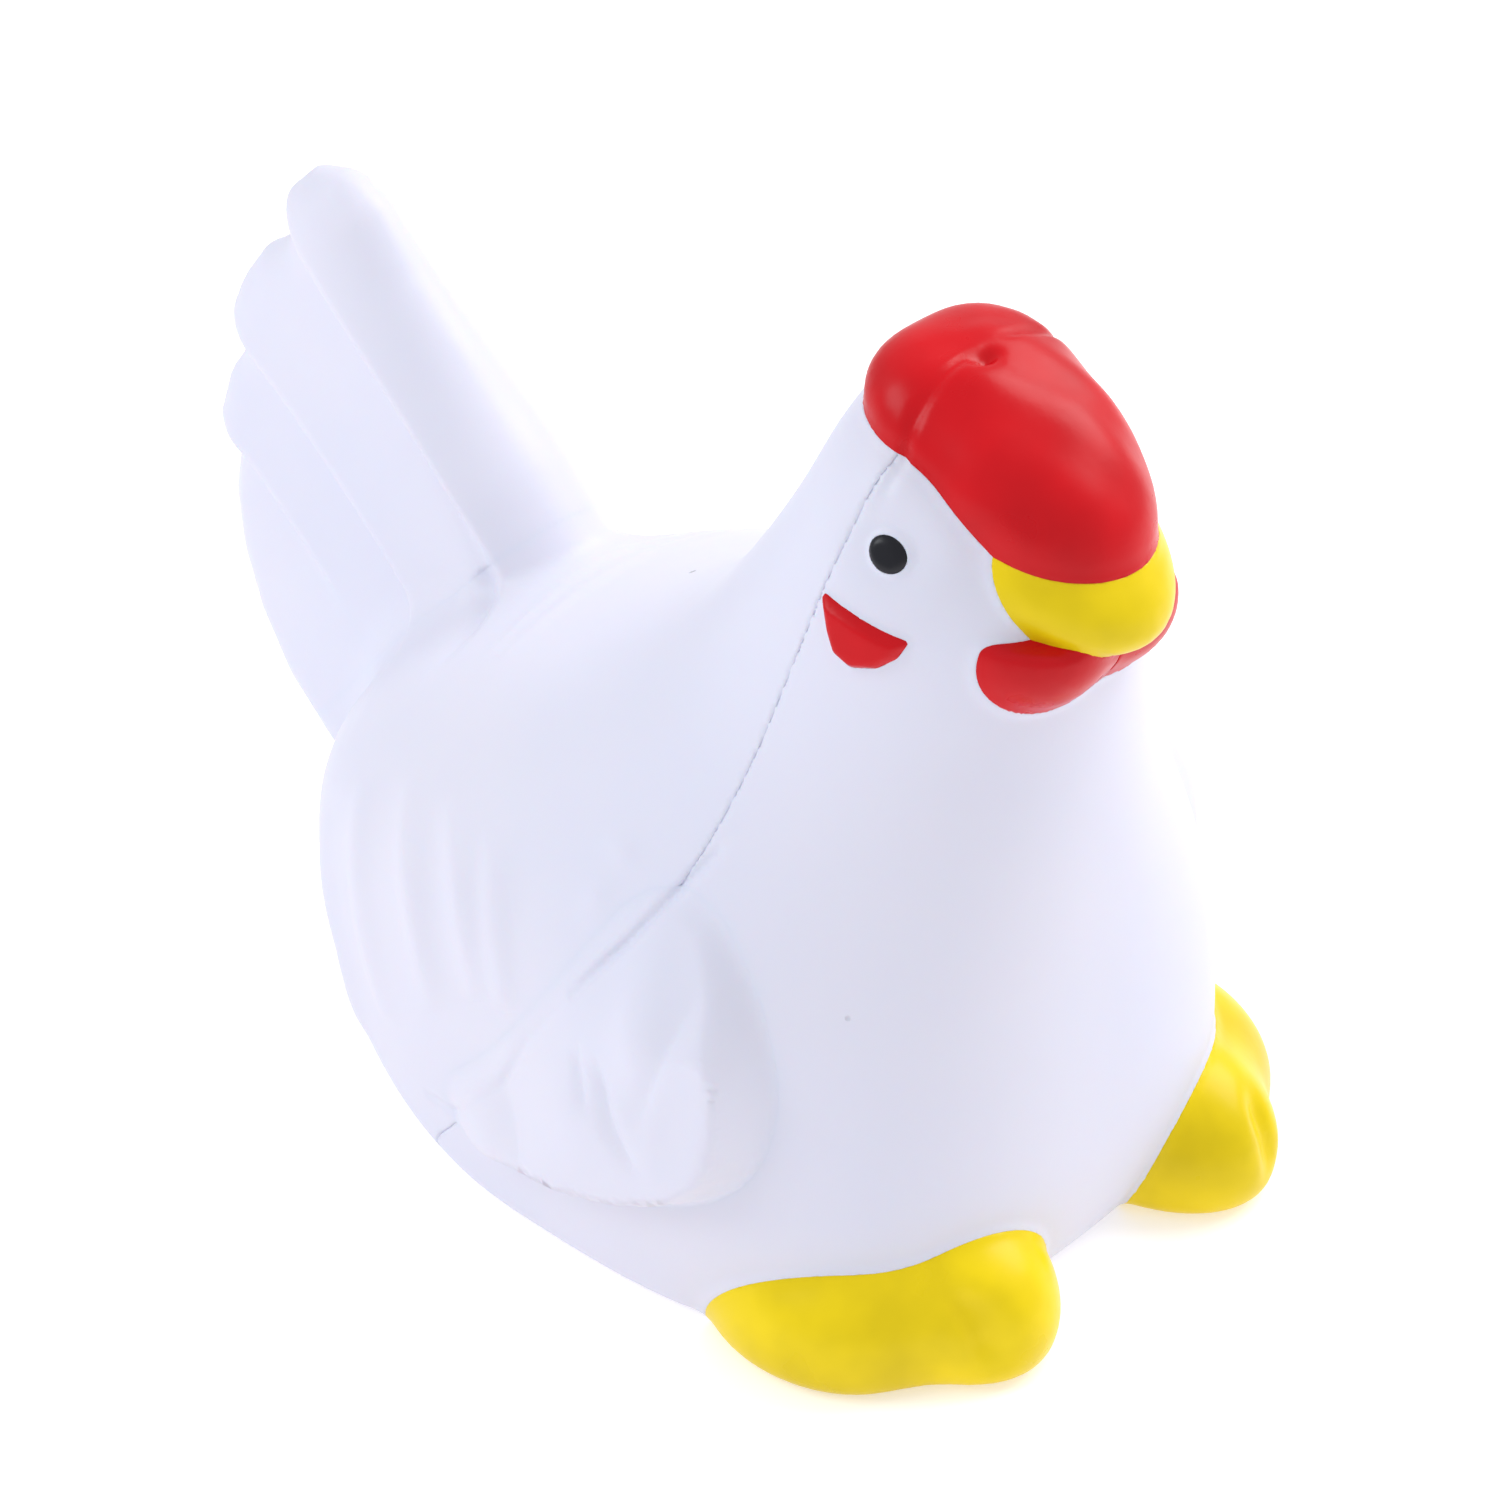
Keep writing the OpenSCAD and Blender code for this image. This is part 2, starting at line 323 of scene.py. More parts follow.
WING_BUMPS = [  # place, size, turn, height
    ((-8.9, 27.8), (2.0, 3.6), -15, 0.6), ((-14.6, 22.4), (2.0, 5.4), 5, 0.6),
    ((-8.2, 21.4), (3.0, 2.2), -30, -0.5), ((-11.8, 24.4), (1.0, 4.4), 12, -0.35)]
WING_GROOVES = [
    ([(-6.6, 22.6), (-8.6, 19.6), (-11.2, 16.4)], 0.55, -0.3),
    ([(-4.4, 22.6), (-5.6, 20.6), (-6.8, 19.0)], 0.5, -0.25)]
FLANK_RIDGES = [
    (rounded([(22.6, 28.6), (18.8, 22), (15.6, 13.8)]), 1.5, 0.5),
    (rounded([(17.4, 31.6), (13.4, 26), (9.6, 18.4)]), 1.4, 0.55),
    (rounded([(12.4, 32.8), (8.4, 27.6), (5.4, 21.2)]), 1.3, 0.5),
    (rounded([(7.6, 32.6), (5.0, 27.6), (2.8, 21.6)]), 1.2, 0.4),
    (rounded([(27, 24), (23.2, 16), (21, 8.6)]), 1.6, 0.5)]
FLANK_BUMPS = [
    ((-3.2, 35.1), (1.3, 1.0), 20, 0.22), ((-2.6, 31.7), (1.0, 1.3), 0, 0.16)]
ROOT_WRINKLES = [
    ([(19.8, 41.2), (18.6, 39.6), (17.6, 37.8), (16.6, 35.4)], 0.7, 0.35),
    ([(21.2, 40.6), (20.0, 38.8), (19.2, 36.8), (18.4, 34.2)], 0.6, 0.3),
    ([(26.2, 37.6), (24.6, 36.0), (23.4, 34.0), (22.8, 32.0)], 0.9, -0.7)]


CREASE_GROOVES = [
    ([(-10.4, 37.5), (-8.6, 34.6), (-6.4, 30.6), (-2.6, 25)], 0.35, -0.45),
    ([(-2.6, 25), (0.4, 20.4), (2.6, 15.4), (6, 12)], 0.5, -0.2),
    ([(5.6, 12.2), (8.6, 9.6), (11.8, 9.4)], 0.5, -0.25)]
WING_RISE, FAR_WING_RISE, WING_TOP = 2.2, 1.3, 36
FEATHER_DROPS, FEATHER_REACHES = (0.95, 0.75, 0.6), (1, 1, 0.7)
PARTING_Y, NICK = -15.7, (-1.1, -16.4)


def wing_relief(x, y, z):
    """The folded wing: nearly flush at its crease, proud at its front and lower edge."""
    edge = wing_edge(y, z)
    behind, _ = chain(y, z, WING_CREASE)
    full = np.maximum(step((1 + np.maximum(behind, 0)) / 9), 0.75 * step((17 - z) / 6))
    full = full * step((9 - y) / 7) * step((WING_TOP - z) / 12)
    d = (0.2 + np.where(x > 0, FAR_WING_RISE, WING_RISE) * full) * step(-edge / 1.7)
    inside = step(-edge / 1.5)
    for at, size, turn, height in WING_BUMPS:
        d = d + inside * bump(y, z, at, size, turn, height)
    for points, width, height in WING_GROOVES:
        d = d + inside * ridge(y, z, points, width, height)
    return d


def flank_relief(y, z):
    d = 0 * y
    for points, width, height in FLANK_RIDGES + CREASE_GROOVES:
        d = d + ridge(y, z, points, width, height)
    for at, size, turn, height in FLANK_BUMPS:
        d = d + bump(y, z, at, size, turn, height)
    return d


def tail_relief(p):
    """The fan's feathers lap over each other like shingles, from the uppermost down."""
    x, y, z = p
    _, out = tail_axes(p)
    grown = step((out + 12) / 16)
    d = 0 * y
    for points, drop, reach in zip(FEATHER_EDGES, FEATHER_DROPS, FEATHER_REACHES):
        s, share = chain(y, z, points)
        fade = step(share / 0.12) * step((reach - share) / 0.25)
        d = d + drop * grown * fade * np.tanh(s / 0.5) * np.exp(-np.abs(s) / 4.2)
    for points, width, height in ROOT_WRINKLES:
        d = d + ridge(y, z, points, width, height) * step((16 - np.abs(x)) / 8)
    return d


def face_relief(y, z):
    """The eye in a shallow dish, the cheek and the ear lobe."""
    eye = eye_edge(y, z)
    d = 0.45 * step(0.5 - eye / 0.9) - 0.45 * np.exp(-(np.maximum(eye, 0) / 1.6) ** 2)
    d = d + bump(y, z, *CHEEK)
    return d + 0.55 * step(-lobe_edge(y, z) / 0.8 + 0.3)


def comb_relief(x, y, z):
    """The comb is softly uneven, with the mould's parting line over it and a nick at the top."""
    d = 0.14 * np.sin(0.85 * x + 0.7) * np.sin(0.75 * y + 0.3 * x)
    d = d - 0.22 * np.exp(-((y - PARTING_Y) / 0.4) ** 2) * step((np.abs(x) - 0.6) / 2)
    d = d - 0.7 * np.exp(-((x - NICK[0]) / 0.9) ** 2 - ((y - NICK[1]) / 0.5) ** 2)
    return d * step((z - 60) / 3) * step((-12.5 - y) / 2)


def toe_relief(x, y, z):
    """The groove between the toes, clear of the sole."""
    low = step((9 - z) / 3) * step((z - 1.5) / 3) * step((-y - 18) / 4)
    return -0.9 * low * np.exp(-((np.abs(x) - 15.2 - 0.10 * (y + 26)) / 1.1) ** 2)


def detail(p):
    """How far the skin stands proud of the plain form."""
    x, y, z = p
    flank = step((np.abs(x) - 9) / 6)
    face = step((np.abs(x) - 5) / 3)
    d = flank * (wing_relief(x, y, z) + flank_relief(y, z)) + tail_relief(p)
    d = d + face * face_relief(y, z) + comb_relief(x, y, z) + toe_relief(x, y, z)
    return d * step(z / 1.2)


def skin(p):
    return plain(p) - detail(p)


# ---- meshing
def at_points(f, points):
    return f([points[:, 0], points[:, 1], points[:, 2]])


def gradient(f, points, h=0.02):
    result = np.empty_like(points)
    for axis in range(3):
        move = np.zeros(3)
        move[axis] = h
        result[:, axis] = at_points(f, points + move) - at_points(f, points - move)
    return result / (2 * h)


def unit(v):
    return v / np.maximum(np.linalg.norm(v, axis=1, keepdims=True), 1e-9)


def snap(points, f, passes=2):
    """Moves points onto the surface of f."""
    for _ in range(passes):
        slope = gradient(f, points)
        move = at_points(f, points) / np.maximum((slope * slope).sum(1), 0.3)
        points = points - np.clip(move, -0.6, 0.6)[:, None] * slope
    return points


def voxel_mesh(f, low, high, size):
    """Triangles of the surface of f inside a box."""
    low = np.array(low, float)
    axes = [np.arange(low[i], high[i] + size, size) for i in range(3)]
    grid = np.meshgrid(*axes, indexing="ij")
    values = f([g.ravel() for g in grid]).reshape(grid[0].shape)
    volume = openvdb.FloatGrid(3 * size)
    volume.copyFromArray(np.clip(values, -3 * size, 3 * size).astype(np.float32))
    points, quads = volume.convertToQuads()
    points = np.asarray(points, float) * size + low
    quads = np.asarray(quads, int)
    triangles = np.vstack([quads[:, [0, 1, 2]], quads[:, [0, 2, 3]]])
    a, b, c = (points[triangles[:, i]] for i in range(3))
    if np.einsum("ij,ij->i", a, np.cross(b, c)).sum() < 0:
        triangles = triangles[:, ::-1]
    return points, triangles


def edges_of(triangles):
    """Every edge once, and the numbers of each triangle's edges 01, 12 and 20."""
    ends = np.sort(np.vstack([triangles[:, [0, 1]], triangles[:, [1, 2]], triangles[:, [2, 0]]]), 1)
    keys, numbers = np.unique(ends[:, 0] * (ends.max() + 1) + ends[:, 1], return_inverse=True)
    return np.stack([keys // (ends.max() + 1), keys % (ends.max() + 1)], 1), numbers.reshape(3, -1).T


def split(points, triangles, labels, marked, edges, numbers, added):
    """Puts the points "added" into the marked edges and cuts every triangle they touch."""
    place = np.full(len(edges), -1)
    place[marked] = len(points) + np.arange(marked.sum())
    points = np.vstack([points, added])
    mids = place[numbers]
    count = (mids >= 0).sum(1)
    parts = [(triangles[count == 0], labels[count == 0])]

    def turned(rows, first):
        order = (first[:, None] + np.arange(3)) % 3
        return (np.take_along_axis(triangles[rows], order, 1),
                np.take_along_axis(mids[rows], order, 1), labels[rows])

    rows = np.flatnonzero(count == 1)
    (a, b, c), (m, _, _), tags = [
        v.T if v.ndim == 2 else v for v in turned(rows, np.argmax(mids[rows] >= 0, 1))]
    parts += [(np.stack([a, m, c], 1), tags), (np.stack([m, b, c], 1), tags)]
    rows = np.flatnonzero(count == 2)
    (a, b, c), (m, n, _), tags = [
        v.T if v.ndim == 2 else v for v in turned(rows, (np.argmin(mids[rows] >= 0, 1) + 1) % 3)]
    parts.append((np.stack([m, b, n], 1), tags))
    short = (np.linalg.norm(points[a] - points[n], axis=1)
             < np.linalg.norm(points[m] - points[c], axis=1))[:, None]
    parts.append((np.where(short, np.stack([a, m, n], 1), np.stack([a, m, c], 1)), tags))
    parts.append((np.where(short, np.stack([a, n, c], 1), np.stack([m, n, c], 1)), tags))
    rows = np.flatnonzero(count == 3)
    a, b, c = triangles[rows].T
    m, n, o = mids[rows].T
    for corner in ((a, m, o), (m, b, n), (o, n, c), (m, n, o)):
        parts.append((np.stack(corner, 1), labels[rows]))
    return points, np.vstack([t for t, _ in parts]), np.concatenate([g for _, g in parts])


def relax(points, triangles, amount=0.5):
    """Evens out the spacing of the points."""
    (a, b), n = edges_of(triangles)[0].T, len(points)
    count = np.bincount(np.concatenate([a, b]), minlength=n)[:, None]
    total = np.stack([np.bincount(a, points[b, k], n) + np.bincount(b, points[a, k], n)
                      for k in range(3)], 1)
    return points + amount * (total / np.maximum(count, 1) - points)


COARSE = 1.15
AWAY = 9  # stands for a distance out of every reach


def wanted_edge(p):
    """Longest edge that the mesh should have at p."""
    x, y, z = p
    side = np.abs(x)
    want = np.full(np.shape(x), COARSE)

    def within(area, size):
        nonlocal want
        want = np.where(area, np.minimum(want, size), want)

    def near(distance, reach, size):
        within(np.abs(distance) < reach, size)

    # wings, flanks, the mould's parting line and the tail
    wing = np.where(side > 12, wing_edge(y, z), AWAY)
    near(wing, 3.2, 0.5)
    within(wing < 0, 0.6)
    near(np.where(side > 10, chain(y, z, WING_CREASE)[0], AWAY), 1.0, 0.32)
    near(chain(y, z, PARTING)[0], 0.8, 0.34)
    within((side > 10) & (y < 28) & (z > 10) & (z < 36), 0.75)
    for points in FEATHER_EDGES:
        near(np.where(tail_axes(p)[1] > -12, chain(y, z, points)[0], AWAY), 1.4, 0.42)
    within((y > 14) & (y < 28) & (z > 30), 0.6)
    # the head and the edges of its paint
    red, bill, chin, foot, body = comb(p), beak(p), wattles(p), feet(p), white(p)
    head = (z > 46) & (y < -8)
    within(head, 0.7)
    for a, b in ((red, body), (red, bill), (bill, body), (bill, chin), (chin, body)):
        near(np.where(head & (np.abs(a) < 2), a - b, AWAY), 0.9, 0.34)
    near(np.where((z > 60) & (side < 9), y + 16, AWAY), 1.0, 0.34)
    near(np.where(side > 6, eye_edge(y, z), AWAY), 1.0, 0.24)
    near(np.where(side > 6, lobe_edge(y, z), AWAY), 1.0, 0.28)
    # feet
    near(np.where((z < 14) & (np.abs(foot) < 2), foot - body, AWAY), 1.0, 0.36)
    within((z < 12) & (foot < 1), 0.6)
    return want


VOXEL = 1.2
LOW, HIGH = (-31.2, -36, -2.4), (31.2, 61.2, 72)
points, triangles = voxel_mesh(plain, LOW, HIGH, VOXEL)
points = snap(points, plain, 1)
labels = np.zeros(len(triangles), int)
for _ in range(4):
    edges, numbers = edges_of(triangles)
    a, b = points[edges[:, 0]], points[edges[:, 1]]
    long = np.linalg.norm(a - b, axis=1) > 1.25 * at_points(wanted_edge, (a + b) / 2)
    if not long.any():
        break
    points, triangles, labels = split(
        points, triangles, labels, long, edges, numbers, ((a + b) / 2)[long])
    points = snap(relax(points, triangles), skin, 1)
points = snap(relax(relax(points, triangles, 0.4), triangles, 0.3), skin, 2)

# ---- regions: each is cut out of what the ones before it left over
REGIONS = []


def region(name, f):
    """The part of the free surface where f is negative becomes the named region."""
    global points, triangles, labels
    REGIONS.append(name)
    values = at_points(f, points)
    edges, numbers = edges_of(triangles)
    free = np.zeros(len(edges), bool)
    free[numbers[labels == 0].ravel()] = True
    crossed = free & ((values[edges[:, 0]] > 0) != (values[edges[:, 1]] > 0))
    a, b = edges[crossed].T
    t = np.clip(values[a] / (values[a] - values[b]), 0.05, 0.95)[:, None]
    added = snap(points[a] + t * (points[b] - points[a]), skin, 1)
    points, triangles, labels = split(points, triangles, labels, crossed, edges, numbers, added)
    values = np.concatenate([values, np.zeros(len(added))])
    labels[(labels == 0) & (values[triangles].sum(1) < 0)] = len(REGIONS)


def both(f):
    """The named pair of a region: f on the hen's right side, and on her left."""
    return (("right", lambda p: np.maximum(f(p), p[0])), ("left", lambda p: np.maximum(f(p), -p[0])))


def rest_of(p, *shapes):
    return np.minimum.reduce([s(p) for s in shapes])


for side_name, f in both(lambda p: np.maximum(eye_edge(p[1], p[2]), 6 - np.abs(p[0]))):
    region("eye_" + side_name, f)
for side_name, f in both(lambda p: np.maximum(lobe_edge(p[1], p[2]), 6 - np.abs(p[0]))):
    region("ear_lobe_" + side_name, f)
region("comb", lambda p: comb(p) - rest_of(p, white, beak))
region("beak", lambda p: beak(p) - rest_of(p, white, wattles))
for side_name, f in both(lambda p: np.maximum(wattles(p) - white(p), p[1] + 8)):
    region("wattle_" + side_name, f)
for side_name, f in both(lambda p: np.maximum(feet(p) - white(p), p[1] + 2)):
    region("foot_" + side_name, f)
for side_name, f in both(lambda p: np.maximum(wing_edge(p[1], p[2]) - 0.2, 12 - np.abs(p[0]))):
    region("wing_" + side_name, f)
region("base_skin", lambda p: p[2] - 0.5)
for n, points_n in enumerate(FEATHER_EDGES):
    region(f"tail_feather_{n + 1}", lambda p: np.maximum(
        -chain(p[1], p[2], points_n)[0], -tail_axes(p)[1]))
region("tail_feather_4", lambda p: -tail_axes(p)[1])
region("front_skin", lambda p: -chain(p[1], p[2], PARTING)[0])
region("rear_skin", lambda p: p[2] - 999)
outward = unit(gradient(plain, points, 0.3))

# Borders sink a little: the parting line most, then the edges of paint, and feathers not at all
PARTING_SINK, PAINT_SINK = 0.16, 0.07
first, last = np.full(len(points), 99), np.zeros(len(points), int)
np.minimum.at(first, triangles.ravel(), np.repeat(labels, 3))
np.maximum.at(last, triangles.ravel(), np.repeat(labels, 3))
UNPAINTED = ("wing", "base", "tail", "front", "rear")
skin_numbers = [REGIONS.index(n) + 1 for n in REGIONS if n.startswith(UNPAINTED)]
painted = (first != last) & ~np.isin(first, skin_numbers)
parting = (first == REGIONS.index("front_skin") + 1) & (last == REGIONS.index("rear_skin") + 1)
sink = np.where(parting, PARTING_SINK, 0) + np.where(painted, PAINT_SINK, 0)
sink = sink * step(points[:, 2] / 2)
points = points - sink[:, None] * outward
corner = points[triangles]
face_normals = np.cross(corner[:, 1] - corner[:, 0], corner[:, 2] - corner[:, 0])


def point_normals(rows):
    """Unit normals of the points, from the triangles in rows."""
    total = np.zeros_like(points)
    for k in range(3):
        for axis in range(3):
            total[:, axis] += np.bincount(triangles[rows, k], face_normals[rows, axis], len(points))
    return unit(total)


whole_normals = point_normals(np.arange(len(triangles)))


# ---- pieces
def new_object(name, verts, faces, normals=None):
    """A mesh object of triangles, in metres, with the given normals of the face corners."""
    mesh = bpy.data.meshes.new(name)
    mesh.vertices.add(len(verts))
    mesh.vertices.foreach_set("co", (verts * MM).astype(np.float32).ravel())
    mesh.loops.add(3 * len(faces))
    mesh.loops.foreach_set("vertex_index", faces.astype(np.int32).ravel())
    mesh.polygons.add(len(faces))
    mesh.polygons.foreach_set("loop_start", np.arange(0, 3 * len(faces), 3, dtype=np.int32))
    mesh.polygons.foreach_set("use_smooth", np.ones(len(faces), bool))
    mesh.update(calc_edges=True)
    if normals is not None:
        mesh.normals_split_custom_set(normals.reshape(-1, 3).tolist())
    piece = bpy.data.objects.new(name, mesh)
    bpy.context.scene.collection.objects.link(piece)
    return piece


def shell(name, thickness):
    """The closed shell under a region of the skin."""
    rows = np.flatnonzero(labels == REGIONS.index(name) + 1)
    used, faces = np.unique(triangles[rows], return_inverse=True)
    faces = faces.reshape(-1, 3)
    n = len(used)
    outer = points[used]
    inner = outer - thickness * outward[used]
    own = point_normals(rows)[used]
    shared = whole_normals[used]
    sharp = (own * shared).sum(1, keepdims=True) < math.cos(math.radians(25))
    normals = np.where(sharp, own, shared)
    directed = np.vstack([faces[:, [0, 1]], faces[:, [1, 2]], faces[:, [2, 0]]])
    forward = directed[:, 0] * n + directed[:, 1]
    backward = directed[:, 1] * n + directed[:, 0]
    a, b = directed[~np.isin(forward, backward)].T
    rim = np.vstack([np.stack([b, a, a + n], 1), np.stack([b, a + n, b + n], 1)])
    verts = np.vstack([outer, inner])
    corner = verts[rim]
    rim_normals = unit(np.cross(corner[:, 1] - corner[:, 0], corner[:, 2] - corner[:, 0]))
    loops = np.concatenate([
        normals[faces], -outward[used][faces[:, ::-1]], np.repeat(rim_normals[:, None], 3, 1)])
    piece = new_object(name, verts, np.vstack([faces, faces[:, ::-1] + n, rim]), loops)
    return piece


# ---- materials
def material(name, colour, build, **values):
    """A principled material whose sockets take plain values, with nodes added by build."""
    made = bpy.data.materials.new(name)
    made.use_nodes = True
    tree = made.node_tree
    shader = tree.nodes["Principled BSDF"]
    shader.inputs["Base Color"].default_value = (*colour, 1)
    for key, value in values.items():
        shader.inputs[key.replace("_", " ").title().replace("Ior", "IOR")].default_value = value
    build(tree, shader, colour)
    return made


def noise(tree, scale, detail=2.0, roughness=0.5):
    where = tree.nodes.new("ShaderNodeTexCoord")
    made = tree.nodes.new("ShaderNodeTexNoise")
    made.inputs["Scale"].default_value = scale
    made.inputs["Detail"].default_value = detail
    made.inputs["Roughness"].default_value = roughness
    tree.links.new(where.outputs["Object"], made.inputs["Vector"])
    return made.outputs["Fac"]


def ranged(tree, value, low, high, to_low, to_high):
    made = tree.nodes.new("ShaderNodeMapRange")
    for key, number in (("From Min", low), ("From Max", high), ("To Min", to_low), ("To Max", to_high)):
        made.inputs[key].default_value = number
    tree.links.new(value, made.inputs["Value"])
    return made.outputs["Result"]


def mixed(tree, share, first, second):
    made = tree.nodes.new("ShaderNodeMix")
    made.data_type = "RGBA"
    tree.links.new(share, made.inputs["Factor"])
    for socket, value in ((made.inputs[6], first), (made.inputs[7], second)):
        if isinstance(value, tuple):
            socket.default_value = (*value, 1)
        else:
            tree.links.new(value, socket)
    return made.outputs[2]


def bumped(tree, shader, layers):
    """Chains bump nodes: (height, strength, distance in metres)."""
    last = None
    for height, strength, distance in layers:
        made = tree.nodes.new("ShaderNodeBump")
        made.inputs["Strength"].default_value = strength
        made.inputs["Distance"].default_value = distance
        tree.links.new(height, made.inputs["Height"])
        if last:
            tree.links.new(last, made.inputs["Normal"])
        last = made.outputs["Normal"]
    tree.links.new(last, shader.inputs["Normal"])


def pores(tree, scale, size):
    """1 on the smooth skin, falling to 0 in sparse round pores."""
    where = tree.nodes.new("ShaderNodeTexCoord")
    made = tree.nodes.new("ShaderNodeTexVoronoi")
    made.inputs["Scale"].default_value = scale
    tree.links.new(where.outputs["Object"], made.inputs["Vector"])
    pick = tree.nodes.new("ShaderNodeSeparateColor")
    tree.links.new(made.outputs["Color"], pick.inputs["Color"])
    rare = ranged(tree, pick.outputs["Red"], 0.90, 0.91, 1.0, 0.0)
    dot = ranged(tree, made.outputs["Distance"], size * 0.6, size, 0.0, 1.0)
    most = tree.nodes.new("ShaderNodeMath")
    most.operation = "MAXIMUM"
    tree.links.new(rare, most.inputs[0])
    tree.links.new(dot, most.inputs[1])
    return most.outputs["Value"]


def foam_skin(tree, shader, colour):
    cool = tuple(c * k for c, k in zip(colour, (0.955, 0.975, 1.0)))
    patches = ranged(tree, noise(tree, 38, 3), 0.35, 0.65, 0, 1)
    base = mixed(tree, patches, colour, cool)
    pits = pores(tree, 170, 0.06)
    # The skin colour drops to 0.62 in the pores: painted shade inside the pinholes.
    base = mixed(tree, pits, tuple(c * 0.62 for c in colour), base)
    tree.links.new(base, shader.inputs["Base Color"])
    tree.links.new(ranged(tree, noise(tree, 90, 4), 0.3, 0.7, 0.40, 0.54), shader.inputs["Roughness"])
    bumped(tree, shader, [
        (noise(tree, 130, 3), 0.35, 0.00012), (noise(tree, 2600, 2), 0.25, 0.00002),
        (pits, 0.8, 0.00015)])


def paint(tree, shader, colour):
    deep = tuple(c * 0.82 for c in colour)
    base = mixed(tree, ranged(tree, noise(tree, 120, 3), 0.35, 0.65, 0, 1), colour, deep)
    pits = pores(tree, 260, 0.07)
    # The paint colour drops to 0.45 in the pores: painted shade inside the pinholes.
    base = mixed(tree, pits, tuple(c * 0.45 for c in colour), base)
    tree.links.new(base, shader.inputs["Base Color"])
    tree.links.new(ranged(tree, noise(tree, 150, 4), 0.3, 0.7, 0.26, 0.40), shader.inputs["Roughness"])
    bumped(tree, shader, [
        (noise(tree, 160, 3), 0.35, 0.00016), (noise(tree, 2200, 2), 0.3, 0.00002),
        (pits, 0.8, 0.00015)])


def raw_foam(tree, shader, colour):
    cells = tree.nodes.new("ShaderNodeTexVoronoi")
    cells.inputs["Scale"].default_value = 1800
    where = tree.nodes.new("ShaderNodeTexCoord")
    tree.links.new(where.outputs["Object"], cells.inputs["Vector"])
    # The foam colour drops to 0.7 toward each cell's middle: painted shade in the open cells.
    base = mixed(tree, ranged(tree, cells.outputs["Distance"], 0, 0.6, 0, 1),
                 tuple(c * 0.7 for c in colour), colour)
    tree.links.new(base, shader.inputs["Base Color"])
    bumped(tree, shader, [(cells.outputs["Distance"], 0.7, 0.0003)])


SOFT = dict(subsurface_weight=0.12, subsurface_scale=0.0012, specular_ior_level=0.3)
WHITE = material("white_skin", (0.715, 0.70, 0.80), foam_skin, roughness=0.46, **SOFT)
RED = material("red_paint", (0.62, 0.003, 0.008), paint, roughness=0.30, specular_ior_level=0.2)
YELLOW = material("yellow_paint", (0.86, 0.64, 0.004), paint, roughness=0.36, specular_ior_level=0.2)
BLACK = material("eye_paint", (0.004, 0.004, 0.009), paint, roughness=0.28, specular_ior_level=0.35)
CORE = material("foam_core", (0.84, 0.82, 0.78), raw_foam, roughness=0.9)

# ---- the pieces: thickness of the shell, material, slot of the record, CAD nodes replaced
SHELLS = {
    "front_skin": (1.2, WHITE, "white_skin", ("breast_skin", "face_skin")),
    "rear_skin": (1.2, WHITE, "white_skin", ("back_skin", "nape_skin")),
    "base_skin": (1.2, WHITE, "white_skin", ("base_skin",)),
    "comb": (1.4, RED, "red_paint", ("comb",)),
    "beak": (1.2, YELLOW, "yellow_paint", ("beak",))}
for side_name in ("right", "left"):
    for part, thickness, look, slot_name in (
            ("eye", 0.7, BLACK, "eye_paint"), ("ear_lobe", 1.0, RED, "red_paint"),
            ("wattle", 1.2, RED, "red_paint"), ("foot", 1.3, YELLOW, "yellow_paint"),
            ("wing", 1.3, WHITE, "white_skin")):
        SHELLS[f"{part}_{side_name}"] = (thickness, look, slot_name, (f"{part}_{side_name}",))
for n in range(1, 5):
    SHELLS[f"tail_feather_{n}"] = (1.2, WHITE, "white_skin", (f"tail_feather_{n}",))

ON_TORSO = ("base_skin", "wing_right", "wing_left", "foot_right", "foot_left")
for name, (thickness, look, slot_name, replaced) in SHELLS.items():
    piece = shell(name, thickness)
    piece.data.materials.append(look)
    if name in ("front_skin", "rear_skin"):
        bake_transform(piece)
    elif name.startswith("tail_feather"):
        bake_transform(piece)
    else:
        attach(piece, "torso" if name in ON_TORSO else "head")
    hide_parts(*replaced)

# ---- foam cores under the skins
CORE_DEPTH, DEEPER, GAP = 1.5, 3.2, 0.3
NECK_Y, NECK_Z, NECK_CUT = -11, 49, 46
NECK_R, TAIL_R = 14.0, 5.2
CORE_VOXEL = 1.1


def under_skin(p):
    """The room for the cores, smaller where a joint bends the skin over them."""
    _, out = tail_axes(p)
    neck = np.exp(-((p[2] - 43) / 7.5) ** 2) * step((16 - p[1]) / 6)
    root = step((18 - out) / 10) * step((out + 12) / 8)
    return plain(p) + CORE_DEPTH + DEEPER * (neck + root)


def ball(p, extra):
    """The round lower end of the head's core, about the neck's hinge."""
    return length(p[0], p[1] - NECK_Y, p[2] - NECK_Z) - NECK_R - extra


def tail_half(p, extra):
    """The tail's side of its root: a round knuckle along the root line and all that lies beyond."""
    _, out = tail_axes(p)
    return np.minimum(length(out, p[0]) - TAIL_R - extra, -out - extra)


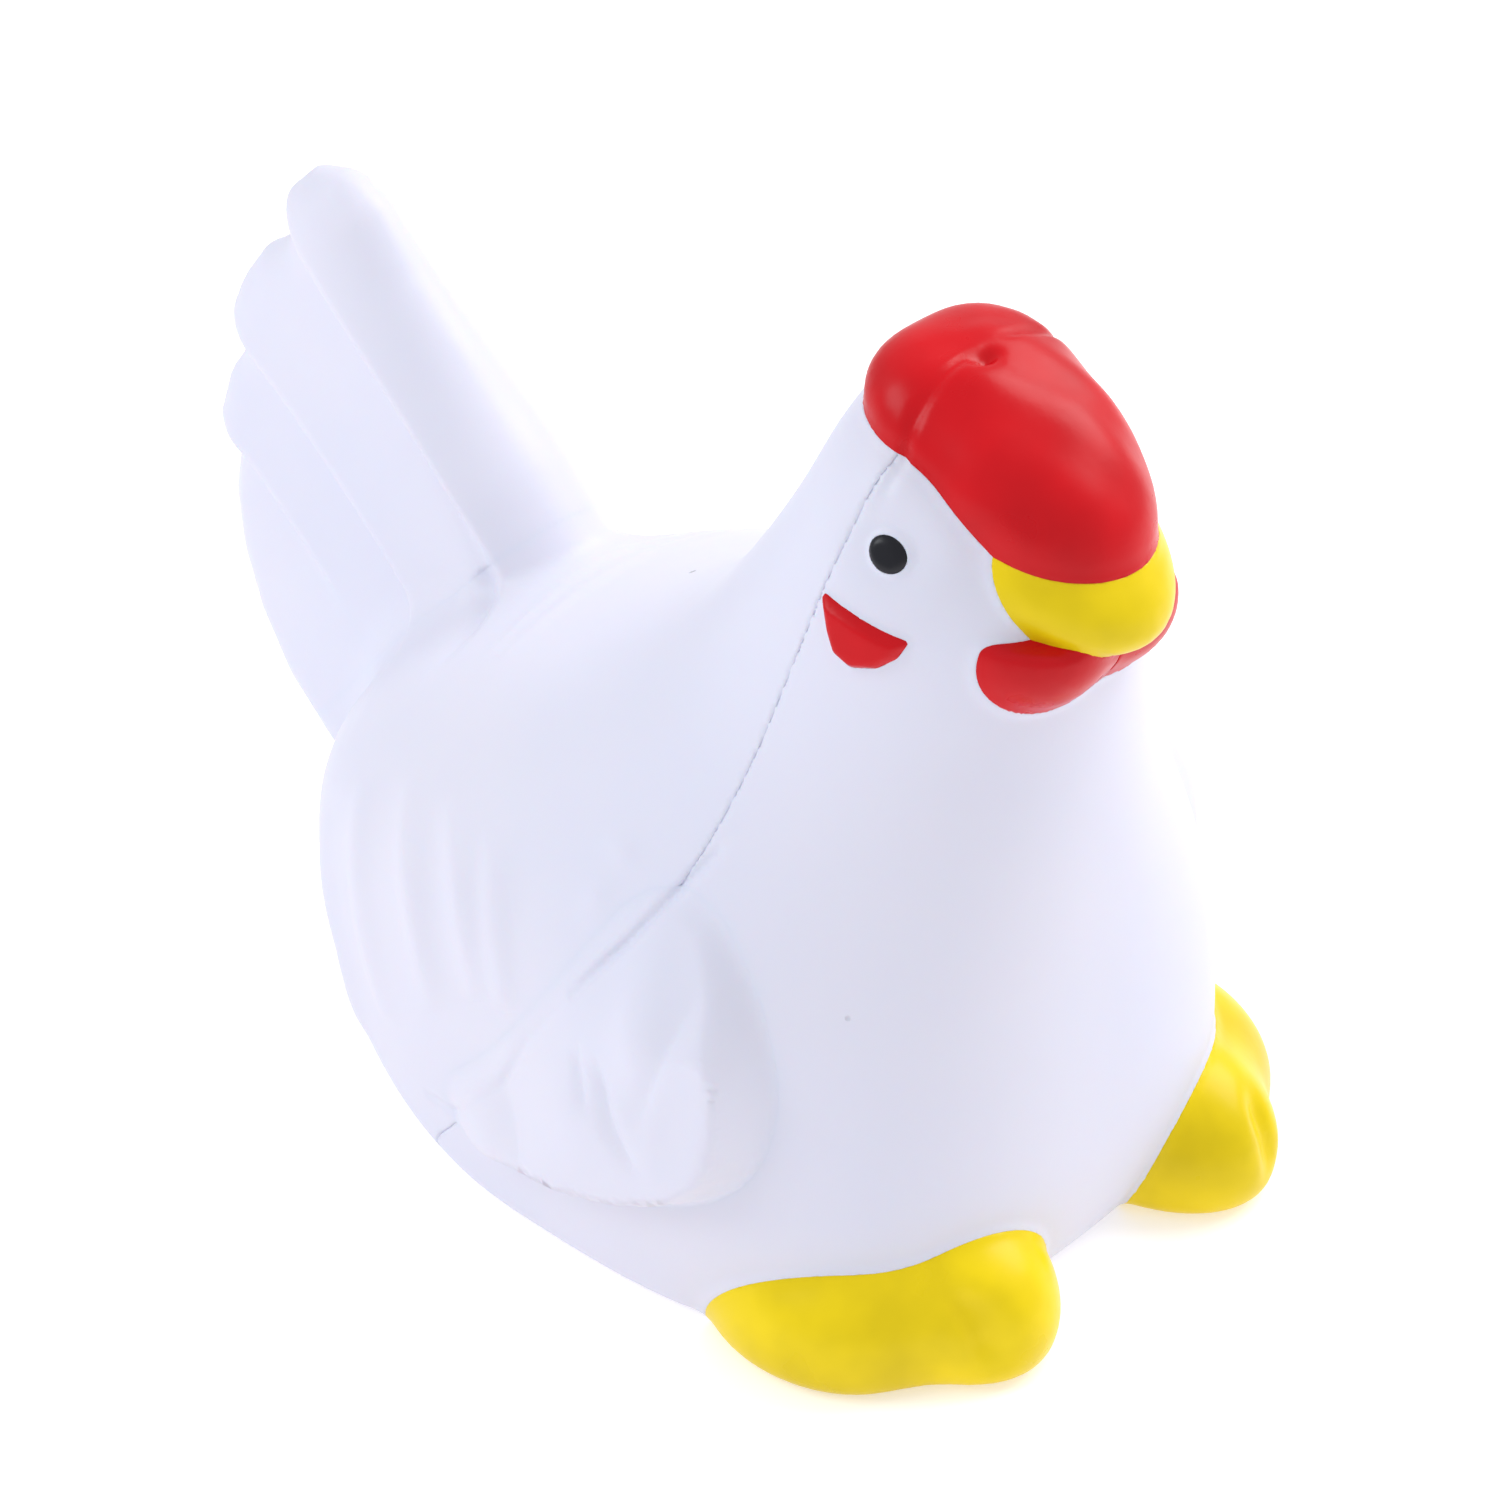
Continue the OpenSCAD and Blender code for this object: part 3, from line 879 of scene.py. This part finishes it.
CORES = {
    "torso_core": ("torso", (-30, -34, 0), (30, 50, 50), lambda p: np.maximum.reduce([
        under_skin(p), -np.minimum(ball(p, GAP), NECK_CUT - p[2]), -tail_half(p, GAP)])),
    "head_core": ("head", (-20, -34, 28), (20, 14, 72), lambda p: np.maximum(
        under_skin(p), np.minimum(ball(p, 0), NECK_CUT + GAP - p[2]))),
    "tail_core": ("tail", (-20, 16, 8), (20, 62, 66), lambda p: np.maximum(
        under_skin(p), tail_half(p, 0)))}
for name, (body, low, high, f) in CORES.items():
    verts, faces = voxel_mesh(f, low, high, CORE_VOXEL)
    piece = new_object(name, verts, faces)
    piece.data.materials.append(CORE)
    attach(piece, body)
    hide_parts(name)

# ---- floor and light
FLOOR = 3.0
floor_mesh = bpy.data.meshes.new("floor")
floor_mesh.from_pydata([(-FLOOR, -FLOOR, 0), (FLOOR, -FLOOR, 0), (FLOOR, FLOOR, 0), (-FLOOR, FLOOR, 0)],
                       [], [(0, 1, 2, 3)])
floor = bpy.data.objects.new("floor", floor_mesh)
bpy.context.scene.collection.objects.link(floor)
floor_material = bpy.data.materials.new("floor")
floor_material.use_nodes = True
floor_inputs = floor_material.node_tree.nodes["Principled BSDF"].inputs
floor_inputs["Base Color"].default_value = (0.76, 0.74, 0.75, 1)
floor_inputs["Roughness"].default_value = 0.9
floor_inputs["Emission Color"].default_value = (1, 1, 1, 1)
floor_inputs["Emission Strength"].default_value = 0.42
floor_mesh.materials.append(floor_material)

world = bpy.data.worlds.new("world")
bpy.context.scene.world = world
world.use_nodes = True
sky = world.node_tree.nodes["Background"].inputs
sky["Color"].default_value = (0.94, 0.97, 1.0, 1)
sky["Strength"].default_value = 0.72


def softbox(name, place, size, power, colour):
    """A round area light at place that shines at the camera's aim."""
    light = bpy.data.objects.new(name, bpy.data.lights.new(name, "AREA"))
    light.data.shape, light.data.size, light.data.energy = "DISK", size, power
    light.data.color = colour
    light.location = place
    light.rotation_euler = (Vector(place) - AIM).to_track_quat("Z", "Y").to_euler()
    bpy.context.scene.collection.objects.link(light)


softbox("key", (0.40, -0.14, 0.42), 0.44, 2.4, (1.0, 0.99, 0.985))
softbox("fill", (-0.40, 0.26, 0.44), 0.36, 1.35, (0.94, 0.97, 1.0))
bpy.context.scene.view_settings.view_transform = "Standard"
